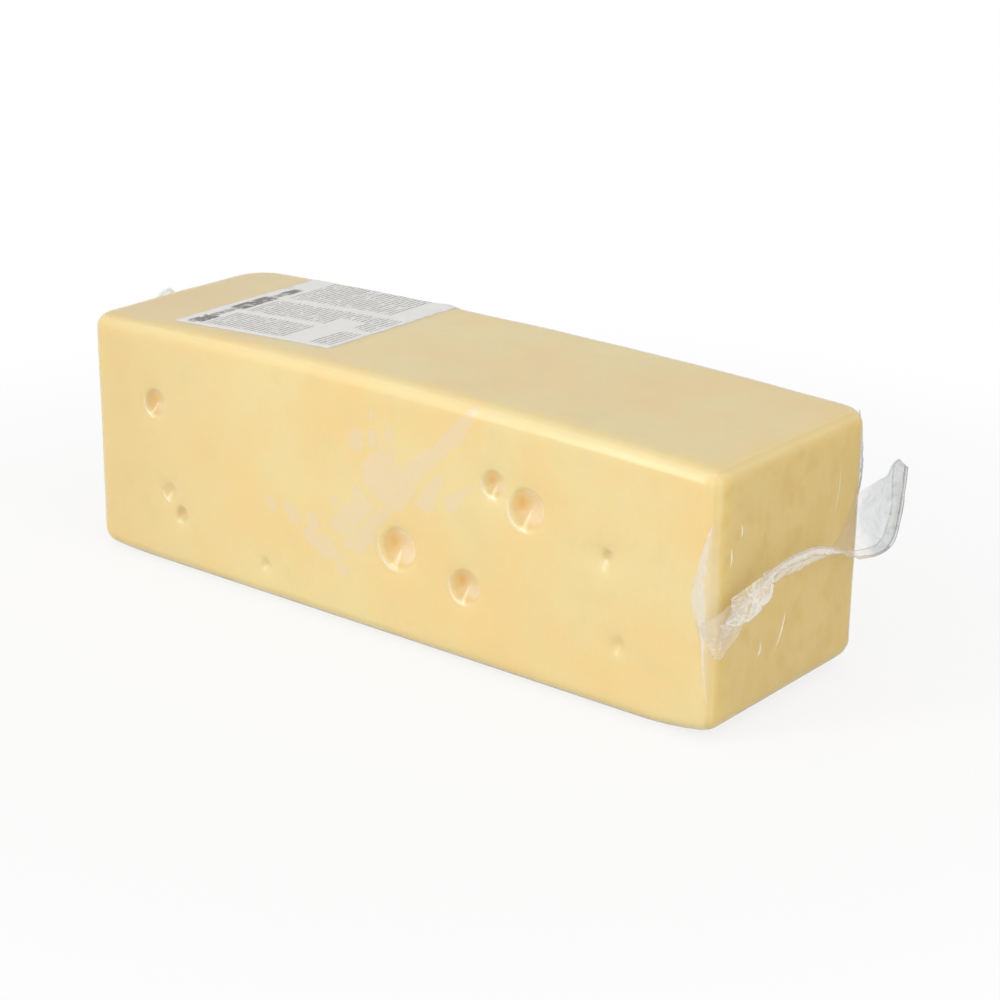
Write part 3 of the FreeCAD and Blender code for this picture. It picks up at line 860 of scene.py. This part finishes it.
# film that stands off the block's corners
tentForm = {  # the fold that bridges the front corner
    "rows": [
        [(147.4, -47.8, 80.5), (147.5, -47.8, 80.5), (147.6, -47.7, 80.5), (147.7, -47.6, 80.5)],
        [(144.2, -47.7, 72), (145.6, -48.2, 72), (147.4, -48.1, 72), (148.6, -46.6, 72)],
        [(141.6, -47.7, 62), (144.2, -48.5, 62), (147.4, -48.6, 62), (149.4, -46.2, 62)],
        [(139.4, -47.7, 52), (143.4, -48.9, 52), (148, -49.1, 52), (150.6, -46.6, 52)],
        [(141.2, -47.7, 45), (144.6, -49.4, 44.5), (148.6, -49.6, 44.5), (151.4, -47.0, 44)],
        [(143.6, -47.7, 38), (145.4, -49.2, 37.5), (147.8, -49.2, 37), (149.9, -47.2, 37)],
        [(144.8, -47.8, 30), (145.6, -48.7, 30), (146.8, -48.6, 30), (148.0, -47.2, 30)],
        [(147.2, -47.8, 15), (147.3, -47.9, 15), (147.5, -47.8, 15), (147.7, -47.6, 15)],
    ],
    "mesh": (120, 30), "crumple": 0.12, "crumpleSize": 9, "seed": 4, "thick": 0.62,
}
pocketForm = {  # hangs from the seal over that fold
    "rows": [
        [(142.6, -49.0, 44.5), (144.6, -49.8, 41), (147.4, -50.2, 37.6), (150.8, -50.2, 34.6)],
        [(146.6, -50.0, 45.5), (148.4, -51.0, 42), (150.0, -51.0, 38), (151.8, -50.0, 33.6)],
        [(150.6, -49.0, 48), (152.4, -49.8, 43), (152.6, -49.8, 38.5), (152.4, -49.0, 33.2)],
        [(153.6, -43.6, 52), (154.6, -45.0, 45), (154.0, -46.4, 38.5), (152.8, -47.6, 33.6)],
        [(154.4, -35.6, 49.5), (154.6, -38.6, 43.5), (153.8, -42.2, 38.4), (152.8, -46.4, 34.4)],
    ],
    "mesh": (60, 60), "crumple": 0.3, "crumpleSize": 9, "seed": 8, "thick": 0.8, "bead": 0.22,
}
webForm = {  # runs up the back corner from the ear
    "rows": [
        [(146.2, 43.0, 96), (146.4, 44.4, 96), (145.0, 45.6, 96)],
        [(147.3, 43.0, 89), (147.6, 44.9, 89), (145.8, 46.4, 89)],
        [(147.6, 43.0, 82), (148.1, 45.3, 82), (146.0, 46.8, 82)],
        [(147.7, 43.0, 73), (148.3, 45.5, 73), (146.0, 47.0, 73)],
        [(147.8, 43.0, 62), (148.0, 43.8, 62), (147.4, 44.6, 62)],
    ],
    "mesh": (70, 14), "crumple": 0.2, "crumpleSize": 5, "seed": 3, "thick": 0.9,
}
creaseForm = {  # fine creases of the film on the end face
    # y and z of two ends
    "lines": [(-30.8, 42.3, -38.7, 33.9), (-4.6, 36.2, -10.5, 23.9), (27.5, 81.4, 23.6, 62),
              (-41, 70, -41.8, 63), (-35.5, 77, -35.8, 72), (-20, 30, -22, 24)],
    "x": 150.25, "bow": 0.7, "width": (0.3, 0.28, 0), "thick": 2.2,
}
cornerFilm = FilmParts()
softSides = np.sin(math.pi * np.linspace(0.01, 0.99, tentForm["mesh"][1])) ** 0.7
cornerFilm.sheet(tentForm, tentForm["thick"] * softSides)
pocket = cornerFilm.sheet(pocketForm)
for hem in (pocket[-1], pocket[:, -1]):
    cornerFilm.bead(hem, pocketForm["bead"], 0.8, 6, 0.9)
cornerFilm.sheet(webForm)
for y1, z1, y2, z2 in creaseForm["lines"]:
    steps = np.linspace(0, 1, 30)[:, None]
    middle = np.array([creaseForm["x"], y1, z1]) + steps * np.array([0, y2 - y1, z2 - z1])
    middle[:, 1:2] += creaseForm["bow"] * np.sin(steps * 2.6)
    aside = np.sin(math.pi * steps) * np.array(creaseForm["width"])
    cornerFilm.add(np.stack([middle - 0.4 * aside, middle + aside], axis=1), creaseForm["thick"])
cornerFilm.make("corner_film", "end_seal_right")
print("corner film done")


# left seal, folded up against the end
leftSeal = {
    # y, root x and z, bead x and z
    "stations": [
        (-42, -149.9, 62.5, -150.3, 70), (-36, -150.3, 60.5, -150.8, 82),
        (-26.5, -150.3, 59.5, -151.8, 88.4), (-14.5, -150.3, 60.5, -153.0, 92.5),
        (-9, -150.3, 60.4, -154, 92.5), (-3, -150.3, 60.5, -154.8, 95.4),
        (1.5, -150.3, 60.5, -155, 95.8), (6, -150.3, 60.5, -155.4, 91.4),
        (14, -150.3, 61.5, -154.6, 89), (20, -150.3, 61.5, -153.6, 89.5),
        (27, -150.3, 60.8, -154, 93), (33, -150.3, 60.5, -154, 92.4),
        (39, -150, 60.5, -153.6, 84), (44.5, -147, 60.5, -149.5, 72),
    ],
    "mesh": (220, 50),
    "bead": 0.85,
    "pleat": 0.5,
    "crumple": 0.55,
    "crumpleSize": 8,
    "weld": 0.82,  # where the weld starts, from root to bead
    "clear": 0.3,  # gap to the end face
}


def leftSealParts():
    form = leftSeal
    parts = FilmParts()
    rows = []
    for y, rootX, rootZ, beadX, beadZ in form["stations"]:
        lean = np.array([-1.4, 0, 0]) * min(1, (y + 42) / 16)
        rows.append(sealRow(np.array([rootX, y, rootZ]), np.array([beadX, y, beadZ]), lean))
    along, across = form["mesh"]
    grid = sheetGrid(rows, along, across)
    t = np.linspace(0, 1, across)[None, :]
    normals = gridNormals(grid)
    y = grid[:, :, 1]
    phase = y * 0.9 + 2 * np.sin(y * 0.17)
    pleats = form["pleat"] * np.sin(phase) * (t * (1 - t) * 4)
    crumple = crumpled(grid, form["crumpleSize"], 6) * form["crumple"] * np.clip(t * 4, 0, 1)
    ridge = 0.35 * np.exp(-((t - form["weld"] - 0.04) / 0.02) ** 2)
    grid = grid + normals * (pleats + crumple + ridge)[:, :, None]
    nearest = -halfLong - form["clear"] + 0.02 * np.clip(np.abs(y) - 40, 0, 5) ** 2
    grid[:, :, 0] = np.minimum(grid[:, :, 0], nearest)
    folds = 0.5 + 0.5 * np.sin(phase + 1.5 * crumple)
    parts.add(grid, t * (0.25 + 0.5 * folds) + 0.15 * np.clip((t - form["weld"]) / 0.06, 0, 1))
    edge = grid[:, -1]
    parts.bead(edge, form["bead"] + 0.3 * waver(edge), 0.8, 10, 0.3)
    return parts


leftSealParts().make("seal_film_left", "end_seal_left")
print("left seal done")


# label
labelForm = {
    "left": -112.5,
    "length": 75.0,
    "front": -37.4,  # y of its front left corner
    "skew": 6.2,  # how far its front edge runs back by the other corner
    "hang": 14.0,  # over the back edge of the block
    "lift": 0.3,
    "mesh": (180, 220),
    "crimps": [(24, 2.2), (47.5, 2.6)],  # crimped bands: place along the label, and width
    "paper": (230, 228, 225),
    "paperShade": (200, 199, 197),
    "boxTone": (226, 225, 224),
    # painted highlight on the crimped bands
    "crimpGlintTone": (228, 227, 225),
    "ink": (122, 120, 118),
    "headline": (88, 80, 72),
    "pitch": 2.05,  # between lines of print
    # rectangles of print: two places across, two along, softness across and along
    "columns": [(-9, 99, 2.5, 21.5, 0.2, 0.3), (-9, 99, 26, 45, 0.2, 0.3),
                (-9, 99, 50, 78, 0.2, 0.3)],
    "body": [(13, 51, -9, 199, 0.2, 0.3), (63.5, 73, 2, 46, 0.2, 0.3),
             (51, 63.5, 36, 84, 0.2, 0.3)],
    "stripe": [(5.6, 9.2, 1, 63, 0.4, 0.8)],
    "blots": [(4.2, 11.5, 3, 13, 0.6, 1.0), (3.6, 10.8, 27, 47, 0.6, 1.2),
              (5, 10, 54, 62.5, 0.6, 0.8)],
    "boxes": [(53, 61.5, 3, 21, 0.15, 0.15), (53, 61.5, 25, 34, 0.15, 0.15)],
}


def labelLook():
    form = labelForm
    look = Look("label_paper")
    u, v = look.value("printAcross"), look.value("printAlong")
    lineNumber = (u / form["pitch"]).floor()
    inLine = (u / form["pitch"]).fraction().between(0.26, 0.74, 0.1)

    def marks(alongScale, seed, low, high):
        spot = look.node("ShaderNodeCombineXYZ", None,
                         {0: lineNumber * 3.7 + seed, 1: v * alongScale, 2: u * 0.9})
        return look.grain(1, 1, 0.5, spot.outputs[0]).ramp(low, high)

    def printed(name):
        found = None
        for u1, u2, v1, v2, softU, softV in form[name]:
            one = u.between(u1, u2, softU) * v.between(v1, v2, softV)
            found = one if found is None else found.most(one)
        return found

    letters = marks(2.7, 1.0, 0.32, 0.5)
    words = marks(0.22, 8.0, 0.33, 0.40)
    ink = letters * words * inLine * printed("columns") * printed("body")
    blot = look.grain(2.6, 3, 0.6)
    stripe = printed("stripe") * (0.45 + 0.4 * blot.ramp(0.45, 0.55))
    headline = stripe.most(printed("blots") * blot.ramp(0.36, 0.44))
    cloudy = look.grain(6, 3, 0.6)
    paper = look.blend(cloudy * 0.35, linear(*form["paper"]), linear(*form["paperShade"]))
    paper = look.blend(printed("boxes") * 0.7, paper, linear(*form["boxTone"]))
    colour = look.blend(ink * 0.8, paper, linear(*form["ink"]))
    colour = look.blend(headline * 0.9, colour, linear(*form["headline"]))
    # painted highlight: the crimps wash the print out to near white
    colour = look.blend(look.value("crimp"), colour, linear(*form["crimpGlintTone"]))
    height = look.grain(0.9, 2, 0.5)
    surface = look.node("ShaderNodeBsdfPrincipled", None, {
        "Base Color": colour, "Roughness": 0.55, "Coat Weight": 0.12,
        "Normal": look.bump(height, 0.2, 0.0002)})
    surface.inputs["Coat Roughness"].default_value = 0.3
    return look.output(surface.outputs[0])


def makeLabel():
    form = labelForm
    along, across = form["mesh"]
    u = np.linspace(0, 1, along)[:, None] * np.ones((1, across))
    v = np.linspace(0, 1, across)[None, :] * np.ones((along, 1))
    ragged = np.array([noise.noise(Vector((0, j * 0.11, 4.2))) for j in range(across)])
    x = form["left"] + u * (form["length"] + 0.9 * ragged[None, :] * (v > 0.25) * u)
    start = form["front"] + form["skew"] * u
    alongLabel = v * (halfDeep - start + form["hang"])
    way = start + alongLabel
    y = np.minimum(way, halfDeep)
    z = tall - np.maximum(way - halfDeep, 0)
    flat = np.column_stack([x.ravel(), y.ravel(), z.ravel()])
    grid = shapeBlock(flat).reshape(along, across, 3)
    normals = gridNormals(grid)
    normals *= np.sign(normals[along // 2, across // 3, 2])

    band = sum(np.exp(-((alongLabel - at) / width) ** 2) for at, width in form["crimps"])
    band = band * np.clip((u - 0.12) * 8, 0, 1)
    ridges = np.array([noise.noise(Vector((p[0] / 1.5, p[1] / 5, 1))) for p in flat])
    crimp = band * np.maximum(0, ridges).reshape(along, across)
    ripple = crumpled(grid, 11, 7, 2) * 0.12

    # the right side comes up from the film, in waves, towards the back
    lifted = 0.9 * np.exp(-((u - 0.93) / 0.09) ** 2) * np.clip((v - 0.72) / 0.12, 0, 1)
    lifted = lifted * (0.6 + 0.6 * np.sin(alongLabel * 0.9))
    lifted += 0.2 * np.clip((u - 0.97) * 33, 0, 1) * (0.5 + 0.5 * np.sin(alongLabel * 0.7))
    height = form["lift"] + ripple + 0.7 * crimp + np.maximum(lifted, 0)
    height = np.maximum(height, form["lift"])
    height[[0, -1]] = height[:, [0, -1]] = 0.05  # the edges lie down on the film
    grid = grid + normals * height[:, :, None]
    values = {"printAcross": (x - form["left"]).ravel(), "printAlong": alongLabel.ravel(),
              "crimp": np.clip(crimp * 3, 0, 1).ravel()}
    label = makePiece("paper_label", grid.reshape(-1, 3), gridFaces(along, across), labelLook(),
                      values)
    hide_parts("label")


makeLabel()
print("label done")

# studio: pale floor, soft lamps, white surroundings
studio = {
    "surroundings": 0.74,
    "floorTone": (0.86, 0.86, 0.86, 1),
    "floorWhite": 0.8,  # share of plain white in the floor near the block, where it shows shadow
    "floorFar": (220, 420),  # distances over which that share grows to 1
    "floorHalf": 6,
    "floorLevel": -0.0004,
    # power, place, size
    "lamps": {
        "key_lamp": (20.5, (-1.1, -2.1, 1.0), (0.6, 2.4)),
        "front_lamp": (8.2, (1.1, -2.3, 0.6), (2.2, 1.0)),
        "top_lamp": (1, (-0.1, -0.3, 1.6), (1.6, 1.3)),
        "right_lamp": (5.5, (1.7, -0.3, 0.7), (1.0, 1.0)),
    },
}


def softLamp(name, power, place, size):
    lamp = bpy.data.lights.new(name, "AREA")
    lamp.shape = "RECTANGLE"
    lamp.size, lamp.size_y = size
    lamp.energy = power
    holder = bpy.data.objects.new(name, lamp)
    holder.location = place
    aim = Vector((0, 0, 0.05)) - Vector(place)
    holder.rotation_euler = aim.to_track_quat("-Z", "Y").to_euler()
    bpy.context.scene.collection.objects.link(holder)


for lampName, lampForm in studio["lamps"].items():
    softLamp(lampName, *lampForm)

whiteTone = (1, 1, 1, 1)
world = bpy.data.worlds.new("studio")
bpy.context.scene.world = world
sky = Look("studio", world)
soft, white = (sky.node("ShaderNodeBackground", None, {"Color": whiteTone, "Strength": strength})
               for strength in (studio["surroundings"], 1.0))
seen = sky.ray("Camera", "Glossy", "Transmission")
sky.output(sky.mix(seen, soft.outputs[0], white.outputs[0]), "ShaderNodeOutputWorld")


def floorLook():
    look = Look("floor")
    away = look.node("ShaderNodeVectorMath", {"operation": "LENGTH"}, {0: look.place()})
    far = Wire(look, away.outputs["Value"]).ramp(*studio["floorFar"])
    paint = look.node("ShaderNodeBsdfDiffuse", None, {"Color": studio["floorTone"]})
    plain = look.node("ShaderNodeEmission", None, {"Color": whiteTone, "Strength": 1.0})
    share = studio["floorWhite"] + (1 - studio["floorWhite"]) * far
    share = look.ray("Camera", "Glossy", "Transmission") * share
    return look.output(look.mix(share, paint.outputs[0], plain.outputs[0]))


half, level = studio["floorHalf"], studio["floorLevel"]
corners = [(x * half, y * half, level) for x, y in ((-1, -1), (1, -1), (1, 1), (-1, 1))]
floorMesh = bpy.data.meshes.new("floor")
floorMesh.from_pydata(corners, [], [(0, 1, 2, 3)])
floorMesh.materials.append(floorLook())
floor = bpy.data.objects.new("floor", floorMesh)
bpy.context.scene.collection.objects.link(floor)

# camera, at the angle from which the block is seen along its front, top and right end
view = {
    "turn": 38.32,
    "height": 19.93,
    "roll": 0.644,
    "distance": 943.2,
    "target": (20.25, 0, 45.16),
    "lens": 90.35,
}
turn, height, roll = (math.radians(view[key]) for key in ("turn", "height", "roll"))
back = Vector((math.sin(turn) * math.cos(height), -math.cos(turn) * math.cos(height),
               math.sin(height)))
level = Vector((math.cos(turn), math.sin(turn), 0))
upright = back.cross(level)
rightward = level * math.cos(roll) + upright * math.sin(roll)
upward = upright * math.cos(roll) - level * math.sin(roll)
camera = bpy.data.cameras.new("camera")
camera.lens = view["lens"]
camera.sensor_width = 36
cameraHolder = bpy.data.objects.new("camera", camera)
turned = Matrix((rightward, upward, back)).transposed().to_4x4()
spot = (Vector(view["target"]) + back * view["distance"]) / 1000
cameraHolder.matrix_world = Matrix.Translation(spot) @ turned
bpy.context.scene.collection.objects.link(cameraHolder)
bpy.context.scene.camera = cameraHolder
bpy.context.scene.view_settings.view_transform = "Standard"
print("studio done")
